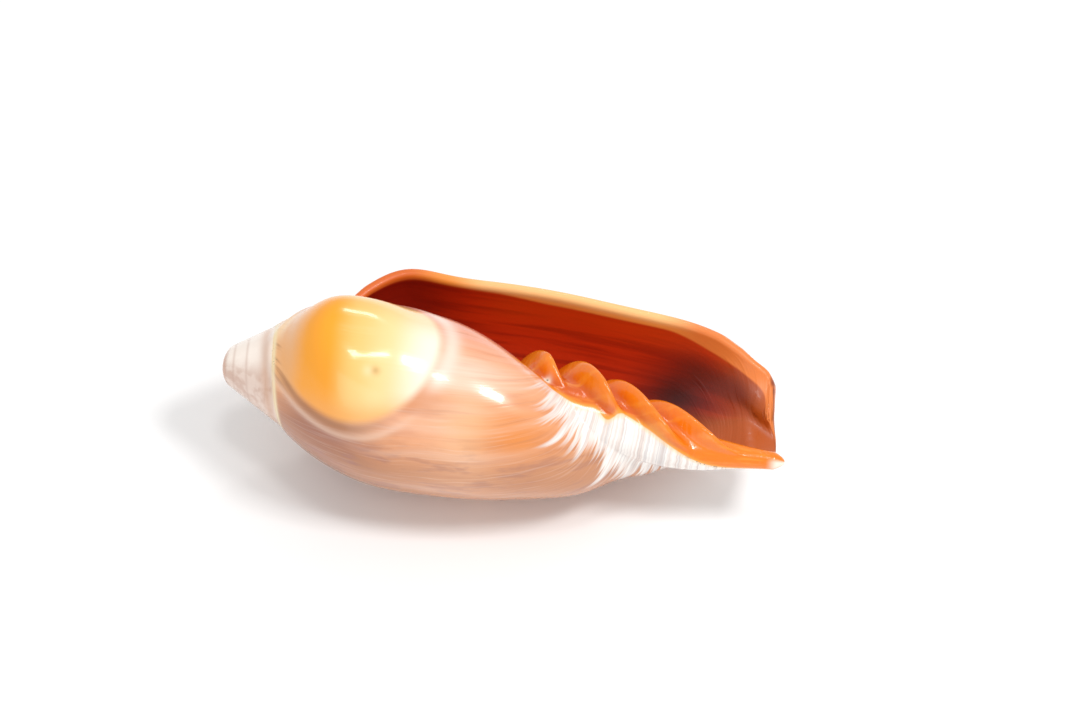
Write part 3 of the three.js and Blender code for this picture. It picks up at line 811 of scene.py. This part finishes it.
# The floor: a plain pale sheet of matt paper that the shell lies on loose. It is one flat face,
# wide enough to fill the view.
FLOOR_SIZE, FLOOR_WHITE, FLOOR_ROUGHNESS = 3.0, (0.96, 0.96, 0.96, 1), 0.9
floor_mesh = bpy.data.meshes.new("floor")
corners = [(FLOOR_SIZE * across, FLOOR_SIZE * up, 0) for across, up in ((-1, -1), (1, -1), (1, 1), (-1, 1))]
floor_mesh.from_pydata(corners, [], [(0, 1, 2, 3)])
floor = bpy.data.objects.new("floor", floor_mesh)
bpy.context.scene.collection.objects.link(floor)
floor_paint = bpy.data.materials.new("pale floor")
floor_paint.use_nodes = True
matt = floor_paint.node_tree.nodes["Principled BSDF"]
matt.inputs["Base Color"].default_value = FLOOR_WHITE
matt.inputs["Roughness"].default_value = FLOOR_ROUGHNESS
floor_mesh.materials.append(floor_paint)


# The studio: a bright soft white room, with three small windows, overhead and behind, that show
# as highlights in the gloss, and a wide soft lamp low in front.
ROOM_LIGHT = 0.64
world = bpy.data.worlds.new("studio")
bpy.context.scene.world = world
world.use_nodes = True
room = world.node_tree.nodes["Background"]
room.inputs["Color"].default_value = (1, 1, 1, 1)
room.inputs["Strength"].default_value = ROOM_LIGHT
bpy.context.scene.view_settings.view_transform = "Standard"

LAMPS = [
    {"name": "overhead window", "from": (0.29, -0.03, 0.53), "size": 0.13, "watts": 1.45},
    {"name": "second window", "from": (0.02, -0.03, 0.6), "size": 0.09, "watts": 0.45},
    {"name": "back window", "from": (0.0, 0.4, 0.43), "size": 0.08, "watts": 0.28},
    {"name": "front fill", "from": (-0.15, -0.65, 0.22), "size": 0.5, "watts": 0.8},
]
LIT_POINT = Vector((0, 0, 0.02))
for lamp in LAMPS:
    data = bpy.data.lights.new(lamp["name"], "AREA")
    data.shape = "SQUARE"
    data.size = lamp["size"]
    data.energy = lamp["watts"]
    light = bpy.data.objects.new(lamp["name"], data)
    light.location = lamp["from"]
    beam = LIT_POINT - light.location
    light.rotation_euler = beam.to_track_quat("-Z", "Y").to_euler()
    bpy.context.scene.collection.objects.link(light)


# The camera: a long lens, held level, looking down on the shell from in front and a little to
# its right, at the photograph's viewing angle.
AZIMUTH, ELEVATION, DISTANCE, LENS = radians(8.3), radians(54.5), 0.6, 114.4
AXIS_MIDDLE = Vector((0, -0.00428, 0.0202))
AIM_RIGHT, AIM_UP = 0.0064, 0.0069
back = Vector((sin(AZIMUTH) * cos(ELEVATION), -cos(AZIMUTH) * cos(ELEVATION), sin(ELEVATION)))
turned = (-back).to_track_quat("-Z", "Y")
aim = AXIS_MIDDLE + turned @ Vector((AIM_RIGHT, AIM_UP, 0))
camera_data = bpy.data.cameras.new("camera")
camera_data.lens = LENS
camera = bpy.data.objects.new("camera", camera_data)
camera.location = aim + back * DISTANCE
camera.rotation_mode = "QUATERNION"
camera.rotation_quaternion = turned
bpy.context.scene.collection.objects.link(camera)
bpy.context.scene.camera = camera
